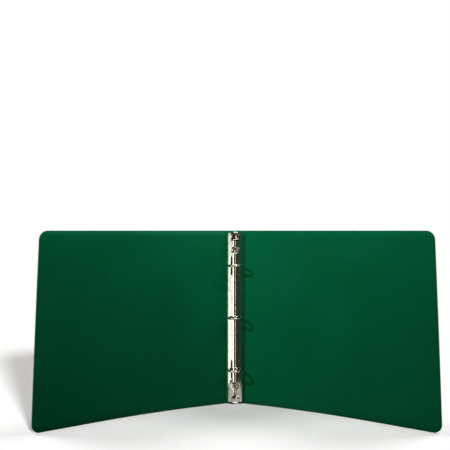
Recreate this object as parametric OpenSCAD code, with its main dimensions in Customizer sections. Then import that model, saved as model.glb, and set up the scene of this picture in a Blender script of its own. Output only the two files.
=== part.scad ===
// Three-ring stamp album, standing open on its bottom edges: two flexible plastic covers joined to a
// narrow spine by thin creased webs, and a plated ring mechanism riveted to the inside of the spine.
// X runs across the spine, Y points away from the reader and Z is up. The origin is the centre of the
// spine's bottom edge, halfway through its sheet. Lengths are in millimetres and angles in degrees.

/* [Album] */
// Height of the covers and the spine
album_h = 234; // [233:1:320]
// Width of each cover, from its hinge line to its outer edge
cover_w = 262; // [200:1:320]
// Thickness of the cover sheet
sheet_t = 2.3; // [1.6:0.1:3]
// Radius of the covers' outer corners
corner_r = 10; // [4:1:25]
// Width of the spine between its two hinge lines
spine_w = 26.5; // [26.5:0.5:40]

/* [Open position] */
// Angle between the spine and each cover, at the hinge and the bottom edge
hinge_angle = 22.7; // [10:0.1:40]
// Length of the bowed stretch of each cover beside its hinge
bow_len = 180; // [80:5:195]
// Radius of the bow
bow_r = 790; // [500:10:2000]
// Twist of each cover over its height, the top being the more closed
cover_twist = 6; // [0:0.5:8]

/* [Living hinges] */
// Half width of each creased web, from the hinge line to the full sheet
web_half = 2; // [1.5:0.1:2.5]
// Thickness of the web
web_t = 0.6; // [0.4:0.1:0.9]
// Radius of the bead along the hinge line
bead_r = 0.55; // [0.4:0.05:0.7]

/* [Housing] */
// Length of the arched housing
housing_l = 227; // [215:0.5:230]
// Width of the housing
housing_w = 20.4; // [19.8:0.1:21.4]
// Thickness of the housing's sheet steel
housing_t = 0.8; // [0.6:0.05:0.9]
// Height of the straight side walls above the spine
wall_h = 2.7; // [2.6:0.1:3.2]
// Height at which the two flanks would meet above the crown
apex_h = 9.1; // [8.8:0.1:9.6]
// Radius of each flank's curve
flank_r = 100; // [60:1:200]
// Height of the round crown above the spine
crown_h = 8.4; // [8.2:0.05:8.5]
// Radius of the crown
crown_r = 5; // [4.8:0.1:5.2]
// Width of the lip turned in under each side wall
lip_w = 1.6; // [1.2:0.1:2]
// Length of the notch that each trigger stands in
notch_l = 10.2; // [9.6:0.1:11]
// Width of that notch
notch_w = 11; // [10.6:0.1:12]
// Length of the pressed grooves beside the outer rings
groove_l = 25; // [15:0.5:30]
// Width of the pressed grooves
groove_w = 2.4; // [1.5:0.1:3]
// Depth of the pressed grooves
groove_depth = 0.25; // [0.15:0.05:0.4]

/* [Rings] */
// Distance between neighbouring rings
ring_pitch = 69.85; // [55:0.05:76]
// Inside diameter of the rings
ring_d = 14.4; // [13:0.1:18]
// Diameter of the ring wire
wire_d = 2.8; // [2:0.1:3]
// Distance of each ring's foot from the centre line
foot_x = 3.6; // [3.4:0.1:4.2]
// Diameter of the staked shank under each foot
shank_d = 1.8; // [1.2:0.1:1.9]
// Diameter of the peened head under the rail
peen_d = 2.7; // [2.2:0.1:3]
// Height of the peened head
peen_h = 0.3; // [0.2:0.05:0.4]

/* [Rails] */
// Thickness of the two rails
rail_t = 1; // [0.8:0.05:1.1]
// Height of the rails' front faces above the spine
rail_h = 2.4; // [2.35:0.05:2.6]

/* [Triggers] */
// Width of each trigger
trigger_w = 10.4; // [8:0.1:10.4]
// Thickness of the triggers' sheet
trigger_t = 0.8; // [0.6:0.05:0.9]
// Height of the triggers' curved tabs above the spine
tab_h = 7.6; // [6.8:0.1:8]
// Radius of the tabs' curve
tab_r = 14; // [11:0.5:20]
// Distance that the tabs reach past the ends of the housing
tab_reach = 1.8; // [0.5:0.1:2]
// Distance from the inner end of the notch to the pivot pin
pivot_in = 3; // [2.8:0.1:3.6]
// Height of the pivot pin above the spine
pivot_h = 1.6; // [1.55:0.05:1.8]
// Diameter of the pivot pin
pin_d = 1.5; // [1:0.1:1.5]
// Thickness of the barrel around the pin
barrel_t = 0.5; // [0.4:0.05:0.55]
// Width of the tongue that lifts the rails
tongue_w = 4; // [3:0.1:4]
// Overlap of the tongue with the ends of the rails
tongue_lap = 0.9; // [0.6:0.05:1.1]

/* [Eyelets] */
// Distance from each end of the housing to the centre of its eyelet
eyelet_in = 22.2; // [20:0.1:26]
// Diameter of the eyelet's head
eyelet_d = 8.5; // [7.5:0.1:9]
// Diameter of its hollow shank
eyelet_shank_d = 4.5; // [4:0.1:4.6]
// Diameter of the hole through the eyelet
eyelet_hole_d = 2.6; // [1.8:0.1:3]
// Height of the sunk seat under the eyelet's head
seat_h = 5.8; // [5.6:0.05:6.2]
// Width of the gap round the head in its seat
seat_gap = 0.6; // [0.3:0.1:0.8]
// Diameter of the rivet caps on the outside of the spine
cap_d = 10; // [8:0.5:12]
// Height of the rivet caps
cap_h = 1; // [0.8:0.1:1.4]

/* [Clearances] */
// Gap between pieces that move past each other
gap = 0.3; // [0.25:0.01:0.35]
// Radial gap of a pin or shank in its hole
fit_gap = 0.05; // [0.03:0.01:0.08]
// Gap between the tips of a closed ring
tip_gap = 0.3; // [0.2:0.05:0.5]

/* [Hidden] */
$fn = 64;

sheet_color = "#0b5c3b";
web_color = "#0a4a30";
steel_color = "#c9c6bd";
ring_color = "#dcdad3";

// Cutting solids run this far past the face that they cut
over = 1;
// Facets of a large circle
smooth = 240;

// The living hinges
hinge_x = spine_w / 2;
panel_w = spine_w - 2 * web_half;

// A cover's centre line leaves its hinge on an arc and ends in a straight stretch
bow_angle = bow_len / bow_r * 180 / PI;
bow_steps = 9;
twist_steps = 8;
lip_start = bead_r + gap;

// The housing
wall_x = housing_w / 2;
notch_end = housing_l / 2 - notch_l;
flank_chord = norm([wall_x, apex_h - wall_h]);
flank_drop = sqrt(flank_r * flank_r - flank_chord * flank_chord / 4);
flank_x = wall_x / 2 - flank_drop * (apex_h - wall_h) / flank_chord;
flank_y = (apex_h + wall_h) / 2 - flank_drop * wall_x / flank_chord;
flank_top = crown_h - crown_r + crown_r * wall_x / flank_chord;
notch_r = 0.8;
groove_x = wall_x / 2;

// The rails, whose round outer edges turn inside the walls
pivot_x = wall_x - housing_t - gap - rail_t / 2;
rail_l = 2 * (notch_end - gap);
post_room = 0.75;

// The rings, which stand on the rails
wire_r = wire_d / 2;
ring_r = (ring_d + wire_d) / 2;
foot_h = rail_h + wire_r;
ring_h = foot_h + sqrt(ring_r * ring_r - foot_x * foot_x);
collar_r = wire_r + fit_gap;
collar_h = wire_r / 2;
foot_angle = 180 - asin(foot_x / ring_r);
tip_angle = asin(tip_gap / 2 / ring_r);
slot_w = wire_d + 3 * gap;
slot_in = foot_x - wire_r / 2;
slot_out = foot_x + wire_r + 10 * gap;

// The triggers, measured along the album from its middle
pivot_u = notch_end + pivot_in;
web_u = notch_end + 2 * gap;
tab_end = housing_l / 2 + tab_reach;
tab_u = (web_u + tab_end) / 2;
tongue_u = rail_l / 2 - tongue_lap;
tongue_h = rail_h - rail_t - gap;
pin_r = pin_d / 2;
barrel_r = pin_r + fit_gap + barrel_t;
tab_corner = 3;
roll_r = 0.8;

// The eyelets and their caps
eyelet_u = housing_l / 2 - eyelet_in;
eyelet_bore_d = eyelet_shank_d + 2 * fit_gap;
seat_d = eyelet_d + 2 * seat_gap;
rim_r = 0.6;
flange_h = 0.8;
cap_grip = 0.5;
cap_dome = 14;

// Places its children in the mechanism's frame: the middle of the spine's inner face
module on_spine() {
    translate([0, -sheet_t / 2, album_h / 2]) children();
}

// Turns an upright shape to point out of the spine, with its height as the distance from the face
module pointing_out() {
    rotate([90, 0, 0]) children();
}

// Extrudes a side view, drawn as [-distance from the spine, distance along the album], across X
module across(width) {
    rotate([90, 0, 90]) linear_extrude(height = width, center = true) children();
}

// ---- Spine and covers ----

module spine_panel() {
    color(sheet_color) difference() {
        translate([-panel_w / 2, -sheet_t / 2, 0]) cube([panel_w, sheet_t, album_h]);
        on_spine()
            for (end = [-1, 1])
                translate([0, 0, end * eyelet_u]) pointing_out()
                    translate([0, 0, -sheet_t - over])
                        cylinder(h = sheet_t + 2 * over, d = eyelet_bore_d);
    }
}

module hinge_web(side) {
    color(web_color) mirror([side < 0 ? 1 : 0, 0, 0]) {
        translate([panel_w / 2, -web_t / 2, 0]) cube([web_half, web_t, album_h]);
        translate([hinge_x, 0, 0]) cylinder(h = album_h, r = bead_r);
    }
}

// Point at distance s along a cover's centre line and at offset n towards the inside of the album,
// with the hinge at the origin and the first stretch along X
function cover_point(s, n) =
    let (arc = min(s, bow_len), turn = arc / bow_r * 180 / PI, rest = s - arc)
    [
        (bow_r - n) * sin(turn) + rest * cos(turn),
        (bow_r - n) * cos(turn) - bow_r - rest * sin(turn)
    ];

module cover_section() {
    bow_marks = [for (i = [1:bow_steps]) bow_len * i / bow_steps];
    full = concat([web_half], bow_marks, [cover_w]);
    thin = [lip_start, web_half];
    inner = concat(
        [for (s = thin) cover_point(s, web_t / 2)],
        [for (s = full) cover_point(s, sheet_t / 2)]
    );
    outer = concat(
        [for (s = thin) cover_point(s, -web_t / 2)],
        [for (s = full) cover_point(s, -sheet_t / 2)]
    );
    polygon(concat(inner, [for (i = [len(outer) - 1:-1:0]) outer[i]]));
}

// What is cut away at one outer corner, with the corner's own tip at the origin
module corner_waste() {
    difference() {
        translate([-corner_r, -sheet_t, -corner_r])
            cube([corner_r + over, 2 * sheet_t, corner_r + over]);
        translate([-corner_r, 0, -corner_r]) rotate([90, 0, 0])
            cylinder(h = 4 * sheet_t, r = corner_r, center = true);
    }
}

module cover(side) {
    tip = cover_point(cover_w, 0);
    color(sheet_color) mirror([side < 0 ? 1 : 0, 0, 0]) translate([hinge_x, 0, 0]) difference() {
        linear_extrude(height = album_h, twist = cover_twist, slices = twist_steps)
            rotate(-hinge_angle) cover_section();
        rotate(-hinge_angle) translate([tip[0], tip[1], 0]) rotate(-bow_angle)
            mirror([0, 0, 1]) corner_waste();
        rotate(-hinge_angle - cover_twist) translate([tip[0], tip[1], album_h]) rotate(-bow_angle)
            corner_waste();
    }
}

// ---- Housing ----

// Roof-shaped outline of the housing with its round crown, shrunk by inset but for the open side
module housing_outline(inset) {
    intersection() {
        translate([flank_x, -flank_y]) circle(r = flank_r - inset, $fn = smooth);
        translate([-flank_x, -flank_y]) circle(r = flank_r - inset, $fn = smooth);
        translate([inset - wall_x, inset - flank_top])
            square([housing_w - 2 * inset, flank_top - inset]);
    }
    intersection() {
        translate([0, crown_r - crown_h]) circle(r = crown_r - inset);
        translate([-wall_x, -crown_h - over]) square([housing_w, crown_h + over]);
    }
}

module housing_section() {
    difference() {
        housing_outline(0);
        housing_outline(housing_t);
    }
    for (side = [0, 1])
        mirror([side, 0]) translate([wall_x - lip_w, -housing_t]) square([lip_w, housing_t]);
}

// Upright slot with round ends, standing on the spine and cut from x0 to x1
module cross_slot(x0, x1, width) {
    r = width / 2;
    pointing_out() {
        translate([x0 + r, -r, housing_t + over])
            cube([max(x1 - x0 - width, fit_gap), width, crown_h]);
        for (x = [x0 + r, x1 - r])
            translate([x, 0, housing_t + over]) cylinder(h = crown_h, r = r);
    }
}

module pressed_groove() {
    reach = groove_l / 2 - groove_w / 2;
    pointing_out() {
        translate([-groove_w / 2, -reach, 0]) cube([groove_w, 2 * reach, crown_h]);
        for (end = [-1, 1])
            translate([0, end * reach, 0]) cylinder(h = crown_h, d = groove_w);
    }
}

module pressed_grooves() {
    intersection() {
        linear_extrude(height = housing_l, center = true) difference() {
            housing_outline(-over);
            housing_outline(groove_depth);
        }
        for (side = [-1, 1], end = [-1, 1])
            translate([side * groove_x, 0, end * ring_pitch]) pressed_groove();
    }
}

// Notch that opens one end of the housing for its trigger
module trigger_notch() {
    pointing_out() {
        translate([-notch_w / 2, notch_end + notch_r, -over])
            cube([notch_w, notch_l, crown_h + 2 * over]);
        translate([notch_r - notch_w / 2, notch_end, -over])
            cube([notch_w - 2 * notch_r, 2 * notch_r, crown_h + 2 * over]);
        for (side = [-1, 1])
            translate([side * (notch_w / 2 - notch_r), notch_end + notch_r, -over])
                cylinder(h = crown_h + 2 * over, r = notch_r);
    }
}

// Cup pressed into the crown, whose flat floor carries the eyelet's head
module eyelet_cup() {
    intersection() {
        pointing_out() translate([0, 0, seat_h - housing_t])
            cylinder(h = crown_h, d = seat_d + 2 * housing_t);
        linear_extrude(height = 2 * seat_d, center = true) housing_outline(0);
    }
}

module ring_housing() {
    color(steel_color) on_spine() difference() {
        union() {
            linear_extrude(height = housing_l, center = true) housing_section();
            for (end = [-1, 1])
                translate([0, 0, end * eyelet_u]) eyelet_cup();
        }
        pressed_grooves();
        for (i = [-1:1], side = [0, 1])
            mirror([side, 0, 0]) translate([0, 0, i * ring_pitch])
                cross_slot(slot_in, slot_out, slot_w);
        for (end = [0, 1])
            mirror([0, 0, end]) {
                trigger_notch();
                translate([0, 0, eyelet_u]) pointing_out() {
                    translate([0, 0, seat_h]) cylinder(h = crown_h, d = seat_d);
                    cylinder(h = crown_h, d = eyelet_bore_d);
                }
                translate([0, -pivot_h, pivot_u]) rotate([0, 90, 0])
                    cylinder(h = housing_w + 2 * over, r = pin_r + fit_gap, center = true);
            }
    }
}

// ---- Eyelets and rivet caps ----

module eyelet(end) {
    color(ring_color) on_spine() translate([0, 0, end * eyelet_u]) pointing_out()
        difference() {
            union() {
                translate([0, 0, seat_h]) rotate_extrude() {
                    translate([eyelet_d / 2 - rim_r, rim_r]) circle(r = rim_r);
                    square([eyelet_d / 2 - rim_r, flange_h]);
                }
                translate([0, 0, -sheet_t - cap_grip])
                    cylinder(h = seat_h + sheet_t + cap_grip + flange_h / 2, d = eyelet_shank_d);
            }
            translate([0, 0, -sheet_t - cap_grip - over])
                cylinder(h = seat_h + sheet_t + cap_grip + 2 * over, d = eyelet_hole_d);
        }
}

module rivet_cap(end) {
    color(ring_color) on_spine() translate([0, 0, end * eyelet_u]) pointing_out()
        difference() {
            intersection() {
                translate([0, 0, -sheet_t - cap_h]) cylinder(h = cap_h, d = cap_d);
                translate([0, 0, cap_dome - sheet_t - cap_h]) sphere(r = cap_dome, $fn = smooth);
            }
            translate([0, 0, -sheet_t - cap_grip - fit_gap])
                cylinder(h = cap_grip + fit_gap + over, d = eyelet_bore_d);
        }
}

// ---- Rails and rings ----

// Right-hand rail; the left-hand one is its mirror image
module rail(side) {
    color(steel_color) on_spine() mirror([side < 0 ? 1 : 0, 0, 0]) difference() {
        linear_extrude(height = rail_l, center = true) {
            translate([gap / 2, -rail_h]) square([pivot_x - gap / 2, rail_t]);
            translate([pivot_x, rail_t / 2 - rail_h]) circle(d = rail_t);
        }
        for (i = [-1:1])
            translate([foot_x, 0, i * ring_pitch]) pointing_out()
                cylinder(h = rail_h + over, d = shank_d + 2 * fit_gap);
        for (end = [-1, 1])
            translate([0, 0, end * eyelet_u]) pointing_out()
                cylinder(h = rail_h + over, d = eyelet_shank_d + 2 * post_room);
    }
}

// Right-hand half of one ring, staked into its rail
module half_ring(side, row) {
    color(ring_color) on_spine() translate([0, 0, row * ring_pitch])
        mirror([side < 0 ? 1 : 0, 0, 0]) {
            translate([0, -ring_h, 0]) rotate(tip_angle - 90)
                rotate_extrude(angle = foot_angle - tip_angle)
                    translate([ring_r, 0]) circle(d = wire_d);
            translate([foot_x, 0, 0]) pointing_out() {
                translate([0, 0, rail_h]) cylinder(h = foot_h + collar_h - rail_h, r = collar_r);
                translate([0, 0, rail_h - rail_t - peen_h])
                    cylinder(h = rail_t + peen_h + wire_r, d = shank_d);
                translate([0, 0, rail_h - rail_t - peen_h]) cylinder(h = peen_h, d = peen_d);
            }
        }
}

// ---- Triggers ----

// Side view of the bent sheet: the curved tab, the web behind it, the foot and the pin's barrel
module trigger_side() {
    intersection() {
        translate([tab_r - tab_h, tab_u]) difference() {
            circle(r = tab_r, $fn = smooth);
            circle(r = tab_r - trigger_t, $fn = smooth);
        }
        translate([-tab_h - over, web_u]) square([tab_h + over, tab_end - web_u]);
    }
    intersection() {
        translate([-tab_h, web_u]) square([tab_h - tongue_h + trigger_t, trigger_t]);
        translate([tab_r - tab_h, tab_u]) circle(r = tab_r, $fn = smooth);
    }
    translate([-tongue_h, web_u]) square([trigger_t, pivot_u - web_u]);
    translate([-pivot_h, pivot_u]) circle(r = barrel_r);
}

// Front view of the tab, with its two outer corners rounded
module trigger_front() {
    half_w = trigger_w / 2;
    translate([-half_w, web_u]) square([trigger_w, tab_end - web_u - tab_corner]);
    translate([tab_corner - half_w, web_u]) square([trigger_w - 2 * tab_corner, tab_end - web_u]);
    for (side = [-1, 1])
        translate([side * (half_w - tab_corner), tab_end - tab_corner]) circle(r = tab_corner);
}

module trigger(end) {
    roll_w = trigger_w - 2 * tab_corner;
    roll_h = tab_h - tab_r + sqrt(tab_r * tab_r - pow(tab_end - tab_u, 2));
    color(ring_color) on_spine() mirror([0, 0, end < 0 ? 1 : 0]) difference() {
        union() {
            intersection() {
                across(trigger_w) trigger_side();
                pointing_out() linear_extrude(height = tab_h + over) trigger_front();
            }
            across(tongue_w)
                translate([-tongue_h, tongue_u]) square([trigger_t, web_u + trigger_t - tongue_u]);
            translate([0, -roll_h, tab_end - roll_r]) rotate([0, 90, 0])
                cylinder(h = roll_w, r = roll_r, center = true);
        }
        translate([0, -pivot_h, pivot_u]) rotate([0, 90, 0])
            cylinder(h = trigger_w + 2 * over, r = pin_r + fit_gap, center = true);
    }
}

module trigger_pin(end) {
    color(steel_color) on_spine() translate([0, -pivot_h, end * pivot_u]) rotate([0, 90, 0])
        cylinder(h = housing_w - housing_t, d = pin_d, center = true);
}

spine_panel();
hinge_web(-1);  // left_hinge
hinge_web(1);  // right_hinge
cover(-1);  // left_cover
cover(1);  // right_cover
ring_housing();
eyelet(1);  // top_eyelet
eyelet(-1);  // bottom_eyelet
rivet_cap(1);  // top_rivet_cap
rivet_cap(-1);  // bottom_rivet_cap
rail(-1);  // left_rail
half_ring(-1, 1);  // left_ring_top
half_ring(-1, 0);  // left_ring_middle
half_ring(-1, -1);  // left_ring_bottom
rail(1);  // right_rail
half_ring(1, 1);  // right_ring_top
half_ring(1, 0);  // right_ring_middle
half_ring(1, -1);  // right_ring_bottom
trigger(1);  // top_trigger
trigger_pin(1);  // top_trigger_pin
trigger(-1);  // bottom_trigger
trigger_pin(-1);  // bottom_trigger_pin
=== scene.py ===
"""Dresses the frame of a three-ring stamp album: its sheet, its plated mechanism and a studio."""

import math

import bmesh
import bpy
from bpy.props import FloatProperty, FloatVectorProperty, PointerProperty
from mathutils import Matrix, Vector


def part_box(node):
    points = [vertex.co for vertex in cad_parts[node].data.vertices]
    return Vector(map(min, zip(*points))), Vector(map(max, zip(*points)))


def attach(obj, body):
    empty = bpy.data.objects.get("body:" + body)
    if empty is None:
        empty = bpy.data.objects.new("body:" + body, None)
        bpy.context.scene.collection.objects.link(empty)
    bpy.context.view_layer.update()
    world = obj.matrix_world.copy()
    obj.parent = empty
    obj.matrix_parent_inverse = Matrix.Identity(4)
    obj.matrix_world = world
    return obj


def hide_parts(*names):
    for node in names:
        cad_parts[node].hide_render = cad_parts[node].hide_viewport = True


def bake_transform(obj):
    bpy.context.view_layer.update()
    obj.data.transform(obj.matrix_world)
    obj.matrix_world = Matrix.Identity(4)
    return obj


bl_info = {
    "name": "Ring Album Dresser",
    "version": (1, 0, 0),
    "blender": (4, 5, 0),
    "location": "3D View > Sidebar > Ring Album",
    "description": "Builds the covers, ring mechanism and studio of a three-ring stamp album",
    "category": "Object",
}

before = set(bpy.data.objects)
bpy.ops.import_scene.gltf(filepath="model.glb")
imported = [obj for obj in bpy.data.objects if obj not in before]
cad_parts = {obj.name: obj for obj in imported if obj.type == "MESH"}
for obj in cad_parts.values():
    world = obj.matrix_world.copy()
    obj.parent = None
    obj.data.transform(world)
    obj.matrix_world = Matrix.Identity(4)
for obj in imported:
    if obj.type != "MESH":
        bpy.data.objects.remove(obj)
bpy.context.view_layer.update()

MM = 0.001
SPINE_LOW, SPINE_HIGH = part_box("spine_panel")
HOUSING_LOW, HOUSING_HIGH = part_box("ring_housing")
EYELET_LOW, EYELET_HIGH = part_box("top_eyelet")
RING_LOW, RING_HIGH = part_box("right_ring_top")
ENDS = {"top": 1, "bottom": -1}
SIDES = {"right": 1, "left": -1}
ROWS = {"top": 1, "middle": 0, "bottom": -1}

TINY = 1e-6  # places closer than this are one place
CROWN_HALF = 2.6 * MM  # distance from the middle at which the crown meets the flanks
RIVET_HOLE = 2.3 * MM  # radius of the holes for the eyelets' shanks
PIN_IN = 3 * MM  # distance of each trigger pin from the inner end of its notch
PIN_HEIGHT = 1.6 * MM  # height of the trigger pins over the spine
TAB_CENTRE = -6.4 * MM  # height of the centre of the trigger tabs' curve
TAB_CORNER = 3 * MM  # rounding of the trigger tabs' outer corners
TONGUE_HALF = 2 * MM  # half width of the triggers' tongues
FLOOR_HALF = 4.0  # half the side of each part of the floor
FLOOR_SPLIT = -0.06  # where the floor's two parts meet, in front of the spine

# Lamps that the plating mirrors: name, place, size and share of the strip strength
STRIPS = (
    ("left_strip", (-0.79, -0.66, -0.04), (0.24, 0.66), 1.43),
    ("front_strip", (0.225, -0.97, -0.05), (0.05, 0.64), 0.167),
    ("right_strip", (0.78, -0.45, 0.45), (0.25, 0.25), 0.31),
    ("overhead_strip", (0.06, -0.42, 0.75), (0.5, 0.3), 1.6),
)
NOT_MIRRORING = ("right_cover_sheet", "right_crease")  # pieces in which no strip shows


def length(name, description, default):
    """Length property in metres."""
    return FloatProperty(
        name=name, description=description, default=default, min=0.0, precision=5, unit="LENGTH"
    )


def turn(name, description, degrees):
    """Angle property, given in degrees."""
    return FloatProperty(
        name=name, description=description, default=math.radians(degrees), unit="ROTATION"
    )


def tint(name, description, red, green, blue):
    """Linear colour property."""
    return FloatVectorProperty(
        name=name, description=description, default=(red, green, blue), size=3, subtype="COLOR",
        min=0.0, max=1.0,
    )


def amount(name, description, default):
    """Plain number property."""
    return FloatProperty(name=name, description=description, default=default, min=0.0)


class SheetSizes(bpy.types.PropertyGroup):
    """Sizes of the flexible plastic sheet"""

    height: length("Height", "Height of the covers and the spine", SPINE_HIGH.z - SPINE_LOW.z)
    thickness: length("Thickness", "Thickness of the sheet", SPINE_HIGH.y - SPINE_LOW.y)
    hinge_x: length("Hinge distance", "Distance of each hinge line from the middle", 13.25 * MM)
    web_half: length("Crease half width", "From the hinge line to the full sheet", 2 * MM)
    web_flat: length("Crease floor", "Half width of the thinnest part of the crease", 0.6 * MM)
    web_thickness: length("Crease thickness", "Thickness at the hinge line", 0.6 * MM)
    cover_width: length("Cover width", "From the hinge line to the outer edge", 262 * MM)
    corner_radius: length("Corner radius", "Radius of the outer corners", 10 * MM)
    edge_round: length("Edge rounding", "Rounding of the sheet's cut edges", 0.45 * MM)
    hinge_angle: turn("Hinge angle", "Turn of each cover at its bottom edge", 22.7)
    cover_twist: turn("Cover twist", "How much more closed the top edge is", 6)
    bow_length: length("Bow length", "Length of the bowed stretch beside the hinge", 180 * MM)
    bow_radius: length("Bow radius", "Radius of the bow", 790 * MM)


class MechanismSizes(bpy.types.PropertyGroup):
    """Sizes of the plated ring mechanism; heights are measured from the spine's inner face"""

    half_length: length(
        "Half length", "Half the housing's length", (HOUSING_HIGH.z - HOUSING_LOW.z) / 2
    )
    half_width: length(
        "Half width", "Half the housing's width", (HOUSING_HIGH.x - HOUSING_LOW.x) / 2
    )
    plate: length("Plate", "Thickness of the housing's steel", 0.8 * MM)
    wall_height: length("Wall height", "Height of the side walls", 2.7 * MM)
    apex_height: length("Apex height", "Height at which the flanks would meet", 9.1 * MM)
    flank_radius: length("Flank radius", "Radius of each flank's curve", 100 * MM)
    crown_height: length("Crown height", "Height of the crown", 8.4 * MM)
    crown_radius: length("Crown radius", "Radius of the crown", 5 * MM)
    ring_pitch: length(
        "Ring pitch", "Distance between rings",
        (RING_LOW.z + RING_HIGH.z - SPINE_LOW.z - SPINE_HIGH.z) / 2,
    )
    wire: length("Wire", "Diameter of the ring wire", RING_HIGH.z - RING_LOW.z - 0.1 * MM)
    ring_inside: length("Ring inside", "Inside diameter of the rings", 14.4 * MM)
    foot_x: length("Foot distance", "Distance of each ring foot from the middle", 3.6 * MM)
    rail_face: length("Rail face", "Height of the rails' front faces", 2.4 * MM)
    eyelet_u: length(
        "Eyelet distance", "Distance of each eyelet from mid-height",
        (EYELET_LOW.z + EYELET_HIGH.z - SPINE_LOW.z - SPINE_HIGH.z) / 2,
    )
    seat_height: length("Seat height", "Height of the sunk seats", 5.8 * MM)
    seat_radius: length("Seat radius", "Radius of the sunk seats", 4.85 * MM)
    notch_u: length("Notch distance", "Inner end of the trigger notches", 103.3 * MM)
    notch_width: length("Notch width", "Width of the trigger notches", 11 * MM)
    trigger_width: length("Trigger width", "Width of the triggers", 10.4 * MM)
    trigger_arch: length(
        "Trigger arch", "Drop of a trigger tab from its middle to its sides", 1.0 * MM
    )
    trigger_plate: length("Trigger plate", "Thickness of the triggers' steel", 0.8 * MM)


class Finishes(bpy.types.PropertyGroup):
    """Colours of the sheet, the plating and the plain steel, with a painted highlight on the
    creases and painted shade in the eyelets' bores
    """

    sheet: tint("Sheet", "Main green of the sheet", 0.0008, 0.052, 0.0200)
    sheet_deep: tint("Sheet, deep", "Deeper green of the mottling", 0.0006, 0.047, 0.0176)
    # Painted highlight: the creases are a lighter green that stands for the light catching the
    # hinge lines
    crease: tint("Crease", "Green of the stretched creases", 0.0015, 0.060, 0.0250)
    nickel: tint("Nickel", "Bright nickel plating", 0.74, 0.70, 0.63)
    nickel_deep: tint("Nickel, deep", "Nickel where it is slightly dulled", 0.62, 0.57, 0.49)
    steel: tint("Steel", "Plain steel of the rails and pins", 0.42, 0.41, 0.39)
    # Painted shade: the eyelets' bores get this near-black colour to stand for the shade inside the
    # holes
    bore_shade: tint("Tarnish", "Unplated steel inside the eyelets' bores", 0.05, 0.045, 0.035)


class StudioSettings(bpy.types.PropertyGroup):
    """Camera place and lamp strengths"""

    camera_back: length("Camera distance", "Distance in front of the spine", 903 * MM)
    camera_left: length("Camera offset", "Distance left of the middle", 13.5 * MM)
    camera_height: length("Camera height", "Height above the floor", 234 * MM)
    camera_tilt: turn("Camera tilt", "Upward tilt", 0.48)
    lens: amount("Lens", "Focal length in millimetres on a 36 mm sensor", 53.2)
    key: amount("Key", "Strength of the softbox at the left, in watts", 6.6)
    fill: amount("Fill", "Strength of the softbox above the front, in watts", 8.9)
    strip: amount("Strips", "Strength that the strips' shares are taken of, in watts", 2.6)
    front: amount("Floor light", "Strength of the sun that draws the floor's long shadow", 3.9)
    top: amount("Top", "Strength of the two suns above, together", 1.92)
    ambient: amount("Ambient", "Strength of the surroundings", 0.06)
    bounce: amount("Bounce", "How much light the floor throws back onto the album", 0.08)


def settings():
    """The album's property groups."""
    scene = bpy.context.scene
    return scene.album_sheet, scene.album_mechanism, scene.album_finishes, scene.album_studio


# ---- Finishes ----


def node(tree, kind, **values):
    """Adds a shader node and sets its properties and input defaults."""
    made = tree.nodes.new(kind)
    for key, value in values.items():
        if hasattr(made, key):
            setattr(made, key, value)
        else:
            made.inputs[key.replace("_", " ").capitalize()].default_value = value
    return made


def noise(tree, source, scale, detail=2.0, roughness=0.5):
    """Noise texture on the piece's own coordinates."""
    made = node(tree, "ShaderNodeTexNoise", scale=scale, detail=detail, roughness=roughness)
    tree.links.new(source, made.inputs["Vector"])
    return made.outputs["Fac"]


def spread(tree, source, low, high, to_low, to_high):
    """Maps a value from one range to another."""
    made = tree.nodes.new("ShaderNodeMapRange")
    for key, value in (
        ("From Min", low), ("From Max", high), ("To Min", to_low), ("To Max", to_high)
    ):
        made.inputs[key].default_value = value
    tree.links.new(source, made.inputs["Value"])
    return made.outputs["Result"]


def blend_colours(tree, factor, first, second):
    """Mixes two colours by a factor."""
    made = node(tree, "ShaderNodeMix", data_type="RGBA")
    tree.links.new(factor, made.inputs["Factor"])
    for place, colour in ((6, first), (7, second)):
        if isinstance(colour, bpy.types.NodeSocket):
            tree.links.new(colour, made.inputs[place])
        else:
            made.inputs[place].default_value = (*colour, 1.0)
    return made.outputs[2]


def start_finish(name):
    """New material with its node tree, shader and coordinates."""
    material = bpy.data.materials.new(name)
    material.use_nodes = True
    tree = material.node_tree
    shader = tree.nodes["Principled BSDF"]
    where = tree.nodes.new("ShaderNodeTexCoord").outputs["Object"]
    return material, tree, shader, where


def bump(tree, shader, height, strength, distance):
    """Lets a height pattern catch the light."""
    made = node(tree, "ShaderNodeBump", strength=strength, distance=distance)
    tree.links.new(height, made.inputs["Height"])
    tree.links.new(made.outputs["Normal"], shader.inputs["Normal"])


def ray_kind(tree, kinds):
    """1 where a ray is of one of these kinds and 0 elsewhere."""
    path = tree.nodes.new("ShaderNodeLightPath")
    total = path.outputs[kinds[0]]
    for kind in kinds[1:]:
        most = node(tree, "ShaderNodeMath", operation="MAXIMUM")
        tree.links.new(total, most.inputs[0])
        tree.links.new(path.outputs[kind], most.inputs[1])
        total = most.outputs[0]
    return total


def mottle(tree, shader, where, colour_noise, colours, wear_noise, roughness):
    """Mottles colour and roughness; a noise is its scale, detail and lower and upper threshold."""
    scale, detail, low, high = colour_noise
    share = spread(tree, noise(tree, where, scale, detail), low, high, 0.0, 1.0)
    tree.links.new(blend_colours(tree, share, *colours), shader.inputs["Base Color"])
    scale, detail, low, high = wear_noise
    tree.links.new(
        spread(tree, noise(tree, where, scale, detail), low, high, *roughness),
        shader.inputs["Roughness"],
    )


def grain(tree, shader, where, stretch, scale, strength, distance):
    """Fine lines in the metal, stretched along a direction."""
    lines = node(tree, "ShaderNodeMapping", scale=stretch)
    tree.links.new(where, lines.inputs["Vector"])
    bump(tree, shader, noise(tree, lines.outputs["Vector"], scale, 3.0), strength, distance)


def once(build):
    """Lets a finish be built when it is first asked for, and found by its name after that."""
    return lambda name, *values: bpy.data.materials.get(name) or build(name, *values)


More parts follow.
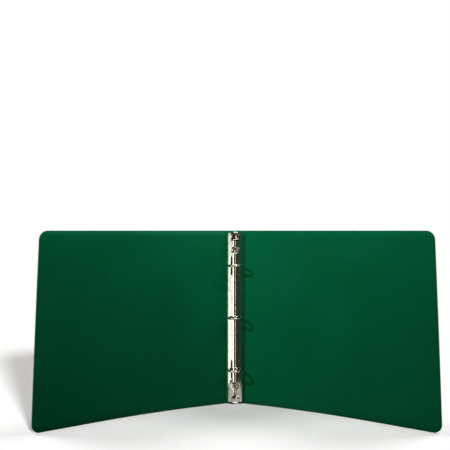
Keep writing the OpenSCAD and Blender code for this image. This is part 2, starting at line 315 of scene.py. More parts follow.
@once
def sheet_finish(name, light, deep):
    """Satin green plastic with a fine pebble grain."""
    material, tree, shader, where = start_finish(name)
    mottle(
        tree, shader, where, (14.0, 3.0, 0.35, 0.65), (deep, light), (70.0, 4.0, 0.3, 0.7),
        (0.26, 0.3),
    )
    shader.inputs["Specular IOR Level"].default_value = 0.2
    shader.inputs["Specular Tint"].default_value = (0.05, 0.55, 0.32, 1.0)
    bump(tree, shader, noise(tree, where, 1500.0, 2.0, 0.55), 0.15, 0.03 * MM)
    return material


@once
def plated_finish(name, stretch, roughness):
    """Bright nickel with faint polishing lines along the stretched direction."""
    finishes = settings()[2]
    material, tree, shader, where = start_finish(name)
    mottle(
        tree, shader, where, (120.0, 4.0, 0.35, 0.7), (finishes.nickel_deep, finishes.nickel),
        (400.0, 5.0, 0.3, 0.75), roughness,
    )
    shader.inputs["Metallic"].default_value = 1.0
    grain(tree, shader, where, stretch, 3000.0, 0.12, 0.004 * MM)
    return material


@once
def steel_finish(name, colour):
    """Plain drawn steel, greyer and rougher than the plating; given a near-black colour it is the
    painted shade in the eyelets' bores.
    """
    material, tree, shader, where = start_finish(name)
    dark = tuple(0.6 * part for part in colour)
    mottle(
        tree, shader, where, (200.0, 5.0, 0.3, 0.7), (dark, colour), (900.0, 4.0, 0.3, 0.7),
        (0.25, 0.45),
    )
    shader.inputs["Metallic"].default_value = 1.0
    grain(tree, shader, where, (1.0, 1.0, 0.04), 2500.0, 0.25, 0.01 * MM)
    return material


def green_sheet():
    """The covers' and spine's finish."""
    finishes = settings()[2]
    return sheet_finish("green_sheet", finishes.sheet, finishes.sheet_deep)


def stretched_sheet():
    """The creases' finish, a little lighter green: a painted highlight along the hinge lines."""
    finishes = settings()[2]
    return sheet_finish("stretched_sheet", finishes.crease, finishes.sheet)


def housing_plating():
    """The housing's finish, polished along its length."""
    return plated_finish("housing_plating", (1.0, 1.0, 0.02), (0.09, 0.14))


def wire_plating():
    """The rings', triggers' and rivets' finish."""
    return plated_finish("wire_plating", (0.2, 1.0, 1.0), (0.1, 0.19))


# ---- Shaping ----


def add_piece(name, bm, material, nodes, body=None, sharp=35.0):
    """Turns a bmesh into a finished piece that stands for its CAD nodes."""
    bm.normal_update()
    bmesh.ops.recalc_face_normals(bm, faces=bm.faces[:])
    mesh = bpy.data.meshes.new(name)
    bm.to_mesh(mesh)
    bm.free()
    mesh.materials.append(material)
    piece = bpy.data.objects.new(name, mesh)
    bpy.context.collection.objects.link(piece)
    smooth_shade(mesh, sharp)
    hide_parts(*nodes)
    if body:
        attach(piece, body)
    return piece


def smooth_shade(mesh, sharp):
    """Smooth shading that keeps edges above an angle crisp."""
    mesh.shade_smooth()
    mesh.set_sharp_from_angle(angle=math.radians(sharp))


def carve(piece, cutter, sharp=35.0):
    """Cuts a bmesh's closed shells out of a piece and keeps the result, without slivers."""
    bmesh.ops.recalc_face_normals(cutter, faces=cutter.faces[:])
    mesh = bpy.data.meshes.new("cutter")
    cutter.to_mesh(mesh)
    cutter.free()
    tool = bpy.data.objects.new("cutter", mesh)
    bpy.context.collection.objects.link(tool)
    cut = piece.modifiers.new("Cut", "BOOLEAN")
    cut.solver = "MANIFOLD"
    cut.operation = "DIFFERENCE"
    cut.object = tool
    view = bpy.context.evaluated_depsgraph_get()
    view.update()
    result = bpy.data.meshes.new_from_object(piece.evaluated_get(view))
    piece.modifiers.clear()
    old = piece.data
    piece.data = result
    bpy.data.meshes.remove(old)
    bpy.data.objects.remove(tool)
    bpy.data.meshes.remove(mesh)
    if len(result.polygons) == 0:
        raise RuntimeError(f"{piece.name} was cut away")
    bm = bmesh.new()
    bm.from_mesh(result)
    bmesh.ops.remove_doubles(bm, verts=bm.verts[:], dist=TINY)
    bmesh.ops.dissolve_degenerate(bm, edges=bm.edges[:], dist=2 * TINY)
    bmesh.ops.triangulate(bm, faces=[face for face in bm.faces if len(face.verts) > 4])
    bm.to_mesh(result)
    bm.free()
    smooth_shade(result, sharp)


def bisect(bm, place, normal):
    """Cuts an edge loop right through a bmesh."""
    bmesh.ops.bisect_plane(
        bm, geom=bm.verts[:] + bm.edges[:] + bm.faces[:], dist=1e-7, plane_co=place, plane_no=normal
    )


def flat_grid(bm, width, height, middle):
    """One flat face of a size, centred on a place."""
    bmesh.ops.create_grid(bm, x_segments=1, y_segments=1, size=0.5)
    bmesh.ops.scale(bm, vec=(width, height, 1.0), verts=bm.verts)
    bmesh.ops.translate(bm, vec=middle, verts=bm.verts)


def clip_corners(bm, tips, radius, segments):
    """Rounds a flat outline's corners."""
    bmesh.ops.bevel(
        bm, geom=tips, offset=radius, offset_type="OFFSET", segments=segments, profile=0.5,
        affect="VERTICES", material=-1,
    )


def thicken(bm, thickness):
    """Gives a flat face a thickness, with its middle at height 0."""
    bmesh.ops.solidify(bm, geom=bm.faces[:], thickness=thickness)
    middle = (min(v.co.z for v in bm.verts) + max(v.co.z for v in bm.verts)) / 2
    bmesh.ops.translate(bm, vec=(0, 0, -middle), verts=bm.verts)


def rim_edges(bm):
    """Sharp edges of a shell."""
    sharp = math.radians(45)
    return [
        edge for edge in bm.edges
        if len(edge.link_faces) == 2 and edge.calc_face_angle() > sharp
    ]


def round_edges(bm, edges, size, segments=2):
    """Rounds edges by a small radius."""
    bmesh.ops.bevel(
        bm, geom=edges, offset=size, offset_type="OFFSET", segments=segments, profile=0.5,
        affect="EDGES", material=-1, clamp_overlap=True,
    )


def smoothstep(value, low, high):
    """0 below low, 1 above high and an even curve between."""
    part = min(max((value - low) / (high - low), 0.0), 1.0)
    return part * part * (3 - 2 * part)


def bend(first, corner, last, steps):
    """Points of a rounded bend between two places, drawn towards the corner."""
    points = []
    for i in range(steps + 1):
        t = i / steps
        points.append(tuple(
            (1 - t) ** 2 * a + 2 * t * (1 - t) * b + t * t * c
            for a, b, c in zip(first, corner, last)
        ))
    return points


def on_spine(x, height, u):
    """Place at a height over the spine's inner face and a distance above mid-height."""
    return Vector((x, SPINE_LOW.y - height, (SPINE_LOW.z + SPINE_HIGH.z) / 2 + u))


def revolve(bm, profile, place, axis, outwards, steps=48, closed=True):
    """Spins a profile of radius and height pairs round an axis through a place."""
    verts = [bm.verts.new(place + outwards * radius + axis * height) for radius, height in profile]
    pairs = list(zip(verts, verts[1:] + verts[:1]))
    if not closed:
        pairs.pop()
    edges = [bm.edges.new(pair) for pair in pairs]
    bmesh.ops.spin(
        bm, geom=verts + edges, cent=place, axis=axis, angle=2 * math.pi, steps=steps,
        use_merge=True,
    )
    bmesh.ops.remove_doubles(bm, verts=bm.verts[:], dist=TINY)


def rod(bm, place, axis, radius, depth, segments=48):
    """Capped cylinder centred on a place."""
    turned = axis.to_track_quat("Z", "Y").to_matrix().to_4x4()
    return bmesh.ops.create_cone(
        bm, cap_ends=True, segments=segments, radius1=radius, radius2=radius, depth=depth,
        matrix=Matrix.Translation(place) @ turned,
    )["verts"]


def block(bm, low, high):
    """Cuboid between two corners."""
    size = Vector([abs(b - a) for a, b in zip(low, high)])
    return bmesh.ops.create_cube(
        bm, size=1.0,
        matrix=Matrix.Translation((low + high) / 2) @ Matrix.Diagonal((*size, 1.0)),
    )["verts"]


# ---- Sheet: spine, creases and covers ----


def sheet_blank(sheet, first, last, columns, rows, rounded, joined):
    """Flat stretch of the sheet, with its outer corners and cut edges rounded.
    X is the distance across the sheet, Y the height and Z the depth from its middle."""
    bm = bmesh.new()
    flat_grid(bm, last - first, sheet.height, ((first + last) / 2, sheet.height / 2, 0.0))
    if rounded:
        tips = [vert for vert in bm.verts if vert.co.x > last - TINY]
        clip_corners(bm, tips, sheet.corner_radius, 12)
    for i in range(1, columns):
        bisect(bm, (first + (last - first) * i / columns, 0, 0), (1, 0, 0))
    for i in range(1, rows):
        bisect(bm, (0, sheet.height * i / rows, 0), (0, 1, 0))
    thicken(bm, sheet.thickness)

    def at_join(edge):
        return any(all(abs(v.co.x - x) < TINY for v in edge.verts) for x in joined)

    round_edges(bm, [edge for edge in rim_edges(bm) if not at_join(edge)], sheet.edge_round)
    return bm


def cover_place(sheet, s, depth, z):
    """Place of a right-hand cover's point, at a distance s from the hinge line and a depth
    towards the inside of the album, once the sheet is bowed and twisted."""
    arc = min(s, sheet.bow_length)
    bowed = arc / sheet.bow_radius
    rest = s - arc
    x = (sheet.bow_radius - depth) * math.sin(bowed) + rest * math.cos(bowed)
    y = (sheet.bow_radius - depth) * math.cos(bowed) - sheet.bow_radius - rest * math.sin(bowed)
    heading = -sheet.hinge_angle - sheet.cover_twist * z / sheet.height
    return Vector((
        sheet.hinge_x + x * math.cos(heading) - y * math.sin(heading),
        x * math.sin(heading) + y * math.cos(heading),
        z,
    ))


def crease_place(sheet, s, depth, z):
    """Place of a right-hand crease's point: flat beside the spine, bent at the hinge line."""
    bare = sheet.web_flat
    if s >= bare:
        return cover_place(sheet, s, depth, z)
    if s <= -bare:
        return Vector((sheet.hinge_x + s, -depth, z))
    start = Vector((sheet.hinge_x - bare, 0, z))
    corner = Vector((sheet.hinge_x, 0, z))
    end = cover_place(sheet, bare, 0, z)
    t = (s + bare) / (2 * bare)
    along = (1 - t) * (corner - start) + t * (end - corner)
    inward = Vector((along.y, -along.x, 0)).normalized()
    return (1 - t) ** 2 * start + 2 * t * (1 - t) * corner + t * t * end + inward * depth


def place_all(bm, side, place):
    """Moves a flat blank's points to their place, mirrored for the left-hand side."""
    for vert in bm.verts:
        moved = place(vert.co.x, vert.co.z, vert.co.y)
        vert.co = (side * moved.x, moved.y, moved.z)


class ALBUM_OT_spine(bpy.types.Operator):
    """Builds the flat spine between the two creases, with its rivet holes"""

    bl_idname = "album.spine"
    bl_label = "Spine"

    def execute(self, context):
        sheet, mechanism, _, _ = settings()
        half = sheet.hinge_x - sheet.web_half
        bm = sheet_blank(sheet, -half, half, 12, 26, False, (-half, half))
        for vert in bm.verts:
            vert.co = (vert.co.x, -vert.co.z, vert.co.y)
        piece = add_piece("spine_slab", bm, green_sheet(), ["spine_panel"], "spine")
        holes = bmesh.new()
        for end in ENDS.values():
            rod(
                holes, on_spine(0, -sheet.thickness / 2, end * mechanism.eyelet_u),
                Vector((0, 1, 0)), RIVET_HOLE, 4 * sheet.thickness,
            )
        carve(piece, holes)
        return {"FINISHED"}


class ALBUM_OT_creases(bpy.types.Operator):
    """Builds the two thin creases that bend between the spine and the covers"""

    bl_idname = "album.creases"
    bl_label = "Creases"

    def execute(self, context):
        sheet = settings()[0]
        reach = sheet.web_half
        full = 1.6 * MM  # distance from the hinge line at which the sheet has its thickness
        thin = sheet.web_thickness / sheet.thickness

        def place(s, depth, z):
            share = thin + (1 - thin) * smoothstep(abs(s), sheet.web_flat, full)
            return crease_place(sheet, s, depth * share, z)

        for name, side in SIDES.items():
            bm = sheet_blank(sheet, -reach, reach, 28, 26, False, (-reach, reach))
            place_all(bm, side, place)
            piece = add_piece(
                f"{name}_crease", bm, stretched_sheet(), [f"{name}_hinge"], sharp=50.0
            )
            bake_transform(piece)
        return {"FINISHED"}


class ALBUM_OT_covers(bpy.types.Operator):
    """Builds the two bowed and twisted covers with their round outer corners"""

    bl_idname = "album.covers"
    bl_label = "Covers"

    def execute(self, context):
        sheet = settings()[0]
        inner = sheet.web_half
        for name, side in SIDES.items():
            bm = sheet_blank(sheet, inner, sheet.cover_width, 65, 26, True, (inner,))
            place_all(bm, side, lambda s, depth, z: cover_place(sheet, s, depth, z))
            add_piece(
                f"{name}_cover_sheet", bm, green_sheet(), [f"{name}_cover"],
                f"{name}_cover",
            )
        return {"FINISHED"}


# ---- Mechanism: housing ----


def flank_centre(mechanism):
    """Centre of the right-hand flank's curve."""
    width, rise = mechanism.half_width, mechanism.apex_height - mechanism.wall_height
    chord = math.hypot(width, rise)
    drop = math.sqrt(mechanism.flank_radius ** 2 - chord ** 2 / 4)
    return (
        width / 2 - drop * rise / chord,
        (mechanism.apex_height + mechanism.wall_height) / 2 - drop * width / chord,
    )


def roof_height(mechanism, x):
    """Height of the housing's outer face at a distance from the middle."""
    x = abs(x)
    centre_x, centre_y = flank_centre(mechanism)
    low = mechanism.crown_height - mechanism.crown_radius
    flank = centre_y + math.sqrt(max(mechanism.flank_radius ** 2 - (x - centre_x) ** 2, 0.0))
    if x >= mechanism.crown_radius:
        return flank
    crown = low + math.sqrt(mechanism.crown_radius ** 2 - x * x)
    return crown if x < CROWN_HALF else max(flank, crown)


def housing_section(mechanism):
    """Right half of the housing's outer face, from the lip's inner edge to the crown."""
    width, wall = mechanism.half_width, mechanism.wall_height
    lip, lip_bend, knuckle = 1.6 * MM, 0.9 * MM, 1.1 * MM
    points = [(width - lip, 0.0)]
    points += bend((width - lip_bend, 0.0), (width, 0.0), (width, lip_bend), 4)
    inner = width - knuckle
    points += bend(
        (width, wall - 0.7 * knuckle), (width, wall), (inner, roof_height(mechanism, inner)), 5
    )
    for start, end, steps in ((inner, CROWN_HALF, 14), (CROWN_HALF, 0.0, 8)):
        for i in range(1, steps + 1):
            x = start + (end - start) * i / steps
            points.append((x, roof_height(mechanism, x)))
    return points


def stations(mechanism):
    """Distances from mid-height at which the housing gets an edge loop, finest where pressed."""
    grooves, seat, plain, last = 56 * MM, 84 * MM, 98.5 * MM, mechanism.half_length
    runs = ((0.0, grooves, 14), (grooves, seat, 62), (seat, plain, 44), (plain, last, 6))
    upper = [start + (end - start) * i / steps for start, end, steps in runs for i in range(steps)]
    upper.append(last)
    return [-u for u in reversed(upper[1:])] + upper


def pressed_by(mechanism, x, u):
    """How far the pressed grooves and the eyelets' seats sink the housing at a place."""
    straight = 11.3 * MM  # half the length of a groove without its round ends
    depth, slope, outer = 0.12 * MM, 0.42, 1.1 * MM  # a groove is deeper towards the middle
    along = max(abs(abs(u) - mechanism.ring_pitch) - straight, 0.0)
    across = abs(x) - mechanism.half_width / 2
    floor = depth + slope * max(outer - across, 0.0)
    groove = floor * (1 - smoothstep(math.hypot(across, along), 0.9 * MM, 1.3 * MM))
    radius = math.hypot(x, abs(u) - mechanism.eyelet_u)
    sink = max(roof_height(mechanism, x) - mechanism.seat_height, 0.0)
    edge = mechanism.seat_radius
    seat = sink * (1 - smoothstep(radius, edge - 0.1 * MM, edge + 0.55 * MM))
    return max(groove, seat)


def lengthened(verts, by):
    """Pulls a round shape's two halves apart along X, which makes a slot of it."""
    middle = sum((v.co.x for v in verts)) / len(verts)
    for vert in verts:
        if abs(vert.co.x - middle) > TINY / 10:
            vert.co.x += math.copysign(by / 2, vert.co.x - middle)


class ALBUM_OT_housing(bpy.types.Operator):
    """Builds the roof-shaped housing with its pressed grooves, seats, ring slots and notches"""

    bl_idname = "album.housing"
    bl_label = "Housing"

    def execute(self, context):
        mechanism = settings()[1]
        half = housing_section(mechanism)
        section = [(x, height) for x, height in half] + [(-x, h) for x, h in reversed(half[:-1])]
        rows = stations(mechanism)
        columns = len(section) - 1
        bm = bmesh.new()
        bmesh.ops.create_grid(bm, x_segments=columns, y_segments=len(rows) - 1, size=1.0)
        for vert in bm.verts:
            i = round((vert.co.x + 1) / 2 * columns)
            j = round((vert.co.y + 1) / 2 * (len(rows) - 1))
            vert.co = on_spine(section[i][0], section[i][1], rows[j])
        bmesh.ops.recalc_face_normals(bm, faces=bm.faces[:])
        crown = min(bm.faces, key=lambda face: face.calc_center_median().y)
        if crown.normal.y > 0:
            bmesh.ops.reverse_faces(bm, faces=bm.faces[:])
        bmesh.ops.solidify(bm, geom=bm.faces[:], thickness=mechanism.plate)
        middle = (SPINE_LOW.z + SPINE_HIGH.z) / 2
        for vert in bm.verts:
            vert.co.y += pressed_by(mechanism, vert.co.x, vert.co.z - middle)
        piece = add_piece(
            "housing_shell", bm, housing_plating(), ["ring_housing"], "spine"
        )
        carve(piece, self.openings(mechanism), 30.0)
        carve(piece, self.notches(mechanism), 30.0)
        return {"FINISHED"}

    def openings(self, mechanism):
        """Cutting shells for the ring slots and the rivet and pin holes."""
        bm = bmesh.new()
        forward = Vector((0, 1, 0))
        room, travel = 0.9 * MM, 3 * MM
        width = mechanism.wire + room
        slot_in = mechanism.foot_x - mechanism.wire / 4
        slot_out = mechanism.foot_x + mechanism.wire / 2 + travel
        for row in ROWS.values():
            for side in SIDES.values():
                place = on_spine(
                    side * (slot_in + slot_out) / 2, 6.8 * MM, row * mechanism.ring_pitch
                )
                verts = rod(bm, place, forward, width / 2, 10 * MM)
                lengthened(verts, slot_out - slot_in - width)
        for end in ENDS.values():
            rod(bm, on_spine(0, 6 * MM, end * mechanism.eyelet_u), forward, RIVET_HOLE, 8 * MM)
            rod(
                bm, on_spine(0, PIN_HEIGHT, end * (mechanism.notch_u + PIN_IN)),
                Vector((1, 0, 0)), 0.8 * MM, 30 * MM, 24,
            )
        return bm

    def notches(self, mechanism):
        """Cutting shells for the notch at each end, with round inner corners."""
        bm = bmesh.new()
        half, start = mechanism.notch_width / 2, mechanism.notch_u
        for end in ENDS.values():
            block(
                bm, on_spine(-half, -0.5 * MM, end * start),
                on_spine(half, 12 * MM, end * (start + 14 * MM)),
            )
        levels = [on_spine(0, 0, end * start).z for end in ENDS.values()]
        inner = [
            edge for edge in bm.edges
            if abs(edge.verts[0].co.y - edge.verts[1].co.y) > 1 * MM
            and min(abs(edge.verts[0].co.z - level) for level in levels) < TINY
        ]
        round_edges(bm, inner, 0.8 * MM, 5)
        return bm


# ---- Mechanism: rings ----


class ALBUM_OT_rings(bpy.types.Operator):
    """Builds the six ring halves, bent from round wire and staked into their rails"""

    bl_idname = "album.rings"
    bl_label = "Rings"

    def execute(self, context):
        mechanism = settings()[1]
        for row, level in ROWS.items():
            for name, side in SIDES.items():
                bm = self.half_ring(mechanism, level * mechanism.ring_pitch)
                if side < 0:
                    bmesh.ops.scale(bm, vec=(-1, 1, 1), verts=bm.verts)
                node_name = f"{name}_ring_{row}"
                add_piece(
                    f"{node_name}_wire", bm, wire_plating(), [node_name],
                    f"{name}_rings", sharp=40.0,
                )
        return {"FINISHED"}

    def half_ring(self, mechanism, u):
        """Right-hand half of the ring at a distance above mid-height."""
        wire = mechanism.wire / 2
        radius = mechanism.ring_inside / 2 + wire
        foot = mechanism.rail_face + wire
        half_gap, leg_top = 0.15 * MM, foot + 0.7 * MM
        rise = foot + math.sqrt(radius ** 2 - mechanism.foot_x ** 2)
        tip = math.asin(half_gap / radius)
        end = math.pi - math.asin(mechanism.foot_x / radius)
        centre = on_spine(0, rise, u)
        bm = bmesh.new()
        face = mechanism.rail_face
        leg = ((leg_top + face) / 2, wire + 0.05 * MM, leg_top - face)
        shank = (2.4 * MM, 0.9 * MM, 2.6 * MM)
        peen = (1.25 * MM, 1.35 * MM, 0.3 * MM)
        # The rods come first: after a spin their caps would be cut up differently each run.
        for height, thick, depth in (leg, shank, peen):
            rod(bm, on_spine(mechanism.foot_x, height, u), Vector((0, 1, 0)), thick, depth)
        section = bmesh.ops.create_circle(
            bm, segments=28, radius=wire,
            matrix=Matrix.Translation(centre) @ Matrix.Rotation(tip, 4, "Z")
            @ Matrix.Translation((0, -radius, 0)) @ Matrix.Rotation(math.pi / 2, 4, "Y"),
        )["verts"]
        wires = [edge for edge in bm.edges if edge.is_wire]
        bmesh.ops.spin(
            bm, geom=section + wires, cent=centre, axis=(0, 0, 1), angle=end - tip, steps=48,
        )
        bmesh.ops.edgeloop_fill(bm, edges=[edge for edge in bm.edges if edge.is_boundary])
        cap = min(
            (face for face in bm.faces if len(face.verts) > 4),
            key=lambda face: abs(face.calc_center_median().x),
        )
        round_edges(bm, cap.edges[:], 0.22 * MM, 3)
        return bm


# ---- Mechanism: eyelets, rivet caps and triggers ----


def arc(centre, radius, start, end, steps):
    """Points of an arc, with angles in degrees."""
    return [
        (
            centre[0] + radius[0] * math.cos(math.radians(start + (end - start) * i / steps)),
            centre[1] + radius[1] * math.sin(math.radians(start + (end - start) * i / steps)),
        )
        for i in range(steps + 1)
    ]


class ALBUM_OT_rivets(bpy.types.Operator):
    """Builds the two hollow eyelets and their caps on the outside of the spine"""

    bl_idname = "album.rivets"
    bl_label = "Eyelets and rivet caps"

    def execute(self, context):
        sheet, mechanism, finishes, _ = settings()
        seat = mechanism.seat_height
        back = -sheet.thickness
        out, outwards = Vector((0, -1, 0)), Vector((1, 0, 0))
        shank_end, bore_wall = back - 0.5 * MM, 1.45 * MM
        head = [(1.3 * MM, shank_end)]
        head += arc((2.3 * MM, seat + 0.15 * MM), (1.0 * MM, 1.0 * MM), 180, 100, 7)
        head += arc((2.6 * MM, seat + 0.45 * MM), (1.65 * MM, 0.72 * MM), 85, 0, 8)
        head += arc((3.95 * MM, seat + 0.3 * MM), (0.3 * MM, 0.3 * MM), 0, -90, 4)
        head += [(2.25 * MM, seat), (2.25 * MM, shank_end)]
        cap = arc((0, back + 13 * MM), (14 * MM, 14 * MM), -90, -70.6, 10)
        cap += [(4.97 * MM, back - 0.12 * MM), (5 * MM, back)]
        cap += [(2.3 * MM, back), (2.3 * MM, back - 0.55 * MM), (0, back - 0.55 * MM)]
        for end, sign in ENDS.items():
            place = on_spine(0, 0, sign * mechanism.eyelet_u)
            bm = bmesh.new()
            revolve(bm, head, place, out, outwards, 64)
            # Faces inside the bore take the second slot: painted shade, a near-black steel that
            # stands for the shade in the hole
            for face in bm.faces:
                middle = face.calc_center_median()
                from_axis = math.hypot(middle.x - place.x, middle.z - place.z)
                face.material_index = 1 if from_axis < bore_wall else 0
            eyelet = add_piece(
                f"{end}_eyelet_head", bm, wire_plating(), [f"{end}_eyelet"], "spine"
            )
            # The second slot is the bore's painted shade
            eyelet.data.materials.append(steel_finish("tarnished_bore", finishes.bore_shade))
            bm = bmesh.new()
            revolve(bm, cap, place, out, outwards, 64, closed=False)
            add_piece(
                f"{end}_rivet_head", bm, wire_plating(), [f"{end}_rivet_cap"],
                "spine",
            )
        return {"FINISHED"}


def trigger_path(mechanism):
    """Middle line of a trigger's bent strip from its tongue to its tip, as distance from
    mid-height and height."""
    start = mechanism.notch_u
    web, middle, last = start + 1.0 * MM, start + 6.3 * MM, start + 11.6 * MM
    tongue, low, steps, radius = start - 1.2 * MM, 0.7 * MM, 16, 13.6 * MM
    tab_start = web + 1.2 * MM

    def tab(u):
        return (u, TAB_CENTRE + math.sqrt(radius ** 2 - (u - middle) ** 2))

    points = [(tongue, low)]
    points += bend((web - 0.7 * MM, low), (web, low), (web, low + 0.7 * MM), 5)
    points += bend((web, tab(web)[1] - 1.1 * MM), tab(web), tab(tab_start), 7)
    for i in range(1, steps + 1):
        points.append(tab(tab_start + (last - tab_start) * i / steps))
    return points


def walk(points):
    """Distance of each point along a path."""
    marks = [0.0]
    for a, b in zip(points, points[1:]):
        marks.append(marks[-1] + math.dist(a, b))
    return marks


class ALBUM_OT_triggers(bpy.types.Operator):
    """Builds the two bent-sheet triggers that open the rings"""

    bl_idname = "album.triggers"
    bl_label = "Triggers"

    def execute(self, context):
        mechanism = settings()[1]
        for end, sign in ENDS.items():
            bm = self.strip(mechanism)
            self.barrel(bm, mechanism)
            for vert in bm.verts:
                vert.co = on_spine(vert.co.x, vert.co.y, sign * vert.co.z)
            add_piece(
                f"{end}_trigger_strip", bm, wire_plating(), [f"{end}_trigger"],
                f"{end}_trigger",
            )
        return {"FINISHED"}

    def strip(self, mechanism):
        """The bent strip, with X across, Y the height and Z the distance from mid-height."""
        points = trigger_path(mechanism)
        marks = walk(points)
        tongue_end, arch_start = marks[6], marks[11]
        half = mechanism.trigger_width / 2
        bm = bmesh.new()
        flat_grid(bm, 2 * half, marks[-1], (0, marks[-1] / 2, 0))
        tips = [vert for vert in bm.verts if vert.co.y > marks[-1] - TINY]
        clip_corners(bm, tips, TAB_CORNER, 8)
        for mark in marks[1:-1]:
            bisect(bm, (0, mark, 0), (0, 1, 0))
        for step in range(-10, 11):
            bisect(bm, (step * 0.5 * MM, 0, 0), (1, 0, 0))
        beside = [
            face for face in bm.faces
            if face.calc_center_median().y < tongue_end
            and abs(face.calc_center_median().x) > TONGUE_HALF
        ]
        bmesh.ops.delete(bm, geom=beside, context="FACES")
        thicken(bm, mechanism.trigger_plate)
        round_edges(bm, rim_edges(bm), 0.18 * MM)
        for vert in bm.verts:
            arch = smoothstep(vert.co.y, arch_start, arch_start + 3 * MM) * (vert.co.x / half) ** 2
            depth = vert.co.z - arch * mechanism.trigger_arch
            vert.co = self.bent(points, marks, vert.co.x, vert.co.y, depth)
        return bm

    def bent(self, points, marks, x, distance, depth):
        """Place of the flat strip's point once it is bent."""
        i = max(j for j in range(len(marks) - 1) if marks[j] <= distance + 1e-9 or j == 0)
        share = (distance - marks[i]) / (marks[i + 1] - marks[i])
        a, b = points[i], points[i + 1]
        before, after = points[max(i - 1, 0)], points[min(i + 2, len(points) - 1)]
        first = Vector((b[0] - before[0], b[1] - before[1])).normalized()
        second = Vector((after[0] - a[0], after[1] - a[1])).normalized()
        along = first.lerp(second, min(max(share, 0.0), 1.0)).normalized()
        u = a[0] + (b[0] - a[0]) * share - along.y * depth
        height = a[1] + (b[1] - a[1]) * share + along.x * depth
        return Vector((x, height, u))

    def barrel(self, bm, mechanism):
        """Foot, pin barrel and rolled tip of a trigger."""
        start, half = mechanism.notch_u, mechanism.trigger_width / 2
        across, up = Vector((1, 0, 0)), Vector((0, 1, 0))
        pivot = Vector((0, PIN_HEIGHT, start + PIN_IN))
        tube = [
            (0.8 * MM, -half), (1.2 * MM, -half), (1.3 * MM, 0.1 * MM - half),
            (1.3 * MM, half - 0.1 * MM), (1.2 * MM, half), (0.8 * MM, half),
        ]
        revolve(bm, tube, pivot, across, up, 32)
        foot = block(
            bm, Vector((-half, 0.3 * MM, start + 0.8 * MM)),
            Vector((half, 1.1 * MM, start + PIN_IN)),
        )
        edges = {edge for vert in foot for edge in vert.link_edges}
        round_edges(bm, list(edges), 0.12 * MM)
        radius, past_middle = 14 * MM, 5.7 * MM
        height = TAB_CENTRE + math.sqrt(radius ** 2 - past_middle ** 2)
        width, curl = half - TAB_CORNER, 0.3 * MM
        bead = [(0.0, -width - curl)]
        bead += arc((0.5 * MM, -width), (curl, curl), -90, 0, 4)
        bead += arc((0.5 * MM, width), (curl, curl), 0, 90, 4)
        bead += [(0.0, width + curl)]
        tip = Vector((0, height, start + 11.2 * MM))
        revolve(bm, bead, tip, across, up, 24, closed=False)


class ALBUM_OT_steelwork(bpy.types.Operator):
    """Gives the rails and the trigger pins their plain steel finish"""

    bl_idname = "album.steelwork"
    bl_label = "Rails and pins"

    def execute(self, context):
        steel = steel_finish("drawn_steel", settings()[2].steel)
        for name in ("left_rail", "right_rail", "top_trigger_pin", "bottom_trigger_pin"):
            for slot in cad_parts[name].material_slots:
                slot.material = steel
        return {"FINISHED"}


# ---- Studio ----


def light_only(lamp, name, objects):
    """Lets a lamp light these objects alone; everything still casts its shadow."""
    lit = bpy.data.collections.get(name) or bpy.data.collections.new(name)
    for piece in objects:
        if piece.name not in lit.objects:
            lit.objects.link(piece)
    lamp.light_linking.receiver_collection = lit


def area_lamp(name, place, target, size, watts):
    """Softbox of a width and height that faces a target."""
    data = bpy.data.lights.new(name, "AREA")
    data.shape = "RECTANGLE"
    data.size, data.size_y = size
    data.energy = watts
    lamp = bpy.data.objects.new(name, data)
    lamp.location = place
    lamp.rotation_euler = (Vector(target) - Vector(place)).to_track_quat("-Z", "Y").to_euler()
    bpy.context.collection.objects.link(lamp)
    return lamp


def sun_lamp(name, direction, strength, softness):
    """Even light from far away; direction points at the lamp."""
    data = bpy.data.lights.new(name, "SUN")
    data.energy = strength
    data.angle = math.radians(softness)
    lamp = bpy.data.objects.new(name, data)
    lamp.rotation_euler = (-Vector(direction)).to_track_quat("-Z", "Y").to_euler()
    bpy.context.collection.objects.link(lamp)
    return lamp


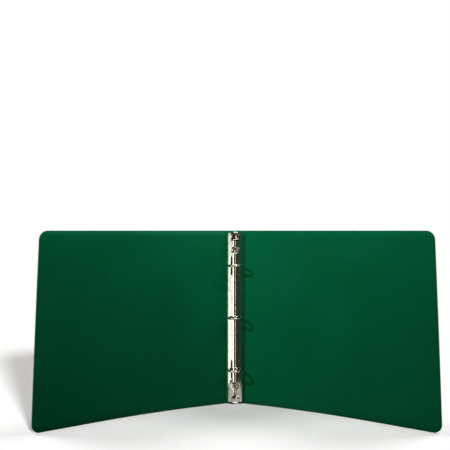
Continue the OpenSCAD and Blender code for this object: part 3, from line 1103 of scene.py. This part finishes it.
class ALBUM_OT_studio(bpy.types.Operator):
    """Builds the white floor, the lamps, the surroundings and the camera"""

    bl_idname = "album.studio"
    bl_label = "Studio"

    def execute(self, context):
        studio = settings()[3]
        floors = self.floors(studio)
        self.surroundings(studio)
        pieces = [o for o in bpy.data.objects if o.type == "MESH" and o not in floors]
        middle, low = (0.02, -0.02, 0.12), (0.0, 0.0, 0.08)
        key = area_lamp("side_softbox", (-0.507, -0.389, 0.506), middle, (0.03, 0.03), studio.key)
        fill = area_lamp("front_softbox", (0.16, -0.33, 0.63), middle, (0.8, 0.08), studio.fill)
        for lamp in (key, fill):
            lamp.visible_glossy = False
            light_only(lamp, "album_pieces", pieces)
        mirrors = [piece for piece in pieces if piece.name not in NOT_MIRRORING]
        for name, place, size, share in STRIPS:
            lamp = area_lamp(name, place, low, size, share * studio.strip)
            lamp.visible_diffuse = False
            light_only(lamp, "mirroring_pieces", mirrors)
        front = sun_lamp("floor_light", (0.37, -0.86, 0.40), studio.front, 6.0)
        light_only(front, "floor_alone", floors)
        for side, sign in SIDES.items():
            above = sun_lamp(f"{side}_top_light", (sign * 0.5, 0.18, 1.0), studio.top / 2, 22.0)
            above.visible_glossy = False
        data = bpy.data.cameras.new("camera")
        data.lens = studio.lens
        camera = bpy.data.objects.new("camera", data)
        camera.location = (-studio.camera_left, -studio.camera_back, studio.camera_height)
        camera.rotation_euler = (math.pi / 2 + studio.camera_tilt, 0, 0)
        bpy.context.collection.objects.link(camera)
        context.scene.camera = camera
        context.scene.view_settings.view_transform = "Standard"
        return {"FINISHED"}

    def floors(self, studio):
        """White floor that keeps the album's shadow; the plating doesn't mirror its front part."""
        material, tree, shader, where = start_finish("white_floor")
        white = blend_colours(
            tree, noise(tree, where, 3.0, 2.0), (0.94, 0.94, 0.94), (0.96, 0.96, 0.96)
        )
        seen = ray_kind(tree, ("Is Camera Ray", "Is Glossy Ray", "Is Transmission Ray"))
        tree.links.new(
            blend_colours(tree, seen, (studio.bounce,) * 3, white), shader.inputs["Base Color"]
        )
        shader.inputs["Roughness"].default_value = 0.9
        shader.inputs["Specular IOR Level"].default_value = 0.1
        floors = []
        for name, side in (("floor", 1), ("front_floor", -1)):
            bm = bmesh.new()
            bmesh.ops.create_grid(bm, x_segments=8, y_segments=8, size=FLOOR_HALF)
            middle = (0, FLOOR_SPLIT + side * FLOOR_HALF, -0.3 * MM)
            bmesh.ops.translate(bm, vec=middle, verts=bm.verts)
            mesh = bpy.data.meshes.new(name)
            bm.to_mesh(mesh)
            bm.free()
            mesh.materials.append(material)
            part = bpy.data.objects.new(name, mesh)
            bpy.context.collection.objects.link(part)
            floors.append(part)
        floors[1].visible_glossy = False
        return floors

    def surroundings(self, studio):
        """White behind the album, and dim all round for the lamps to shape."""
        world = bpy.data.worlds.new("surroundings")
        bpy.context.scene.world = world
        world.use_nodes = True
        tree = world.node_tree
        dim = tree.nodes["Background"]
        dim.inputs["Color"].default_value = (1.0, 0.75, 0.62, 1.0)
        dim.inputs["Strength"].default_value = studio.ambient
        white = tree.nodes.new("ShaderNodeBackground")
        white.inputs["Color"].default_value = (1.0, 1.0, 1.0, 1.0)
        where = tree.nodes.new("ShaderNodeTexCoord").outputs["Generated"]
        split = tree.nodes.new("ShaderNodeSeparateXYZ")
        tree.links.new(where, split.inputs["Vector"])
        behind = spread(tree, split.outputs["Y"], 0.1, 0.5, 0.0, 1.0)
        mirrored = node(tree, "ShaderNodeMath", operation="MULTIPLY")
        tree.links.new(behind, mirrored.inputs[0])
        tree.links.new(ray_kind(tree, ("Is Glossy Ray",)), mirrored.inputs[1])
        seen = node(tree, "ShaderNodeMath", operation="MAXIMUM")
        tree.links.new(mirrored.outputs[0], seen.inputs[0])
        tree.links.new(ray_kind(tree, ("Is Camera Ray", "Is Transmission Ray")), seen.inputs[1])
        mixed = tree.nodes.new("ShaderNodeMixShader")
        tree.links.new(seen.outputs[0], mixed.inputs["Fac"])
        tree.links.new(dim.outputs[0], mixed.inputs[1])
        tree.links.new(white.outputs[0], mixed.inputs[2])
        tree.links.new(mixed.outputs[0], tree.nodes["World Output"].inputs["Surface"])


class ALBUM_PT_panel(bpy.types.Panel):
    """Sidebar panel that lists the album's pieces"""

    bl_idname = "ALBUM_PT_panel"
    bl_label = "Ring Album"
    bl_space_type = "VIEW_3D"
    bl_region_type = "UI"
    bl_category = "Ring Album"

    def draw(self, context):
        for operator in OPERATORS:
            self.layout.operator(operator.bl_idname)
        for group in settings():
            box = self.layout.box()
            for name in group.__annotations__:
                box.prop(group, name)


GROUPS = {
    "album_sheet": SheetSizes,
    "album_mechanism": MechanismSizes,
    "album_finishes": Finishes,
    "album_studio": StudioSettings,
}
OPERATORS = (
    ALBUM_OT_spine,
    ALBUM_OT_creases,
    ALBUM_OT_covers,
    ALBUM_OT_housing,
    ALBUM_OT_rings,
    ALBUM_OT_rivets,
    ALBUM_OT_triggers,
    ALBUM_OT_steelwork,
    ALBUM_OT_studio,
)


def register():
    for cls in (*GROUPS.values(), *OPERATORS, ALBUM_PT_panel):
        bpy.utils.register_class(cls)
    for name, group in GROUPS.items():
        setattr(bpy.types.Scene, name, PointerProperty(type=group))


def unregister():
    for name in GROUPS:
        delattr(bpy.types.Scene, name)
    for cls in reversed((*GROUPS.values(), *OPERATORS, ALBUM_PT_panel)):
        bpy.utils.unregister_class(cls)


def main():
    register()
    for operator in OPERATORS:
        group, name = operator.bl_idname.split(".")
        getattr(getattr(bpy.ops, group), name)()


if __name__ == "__main__":
    main()
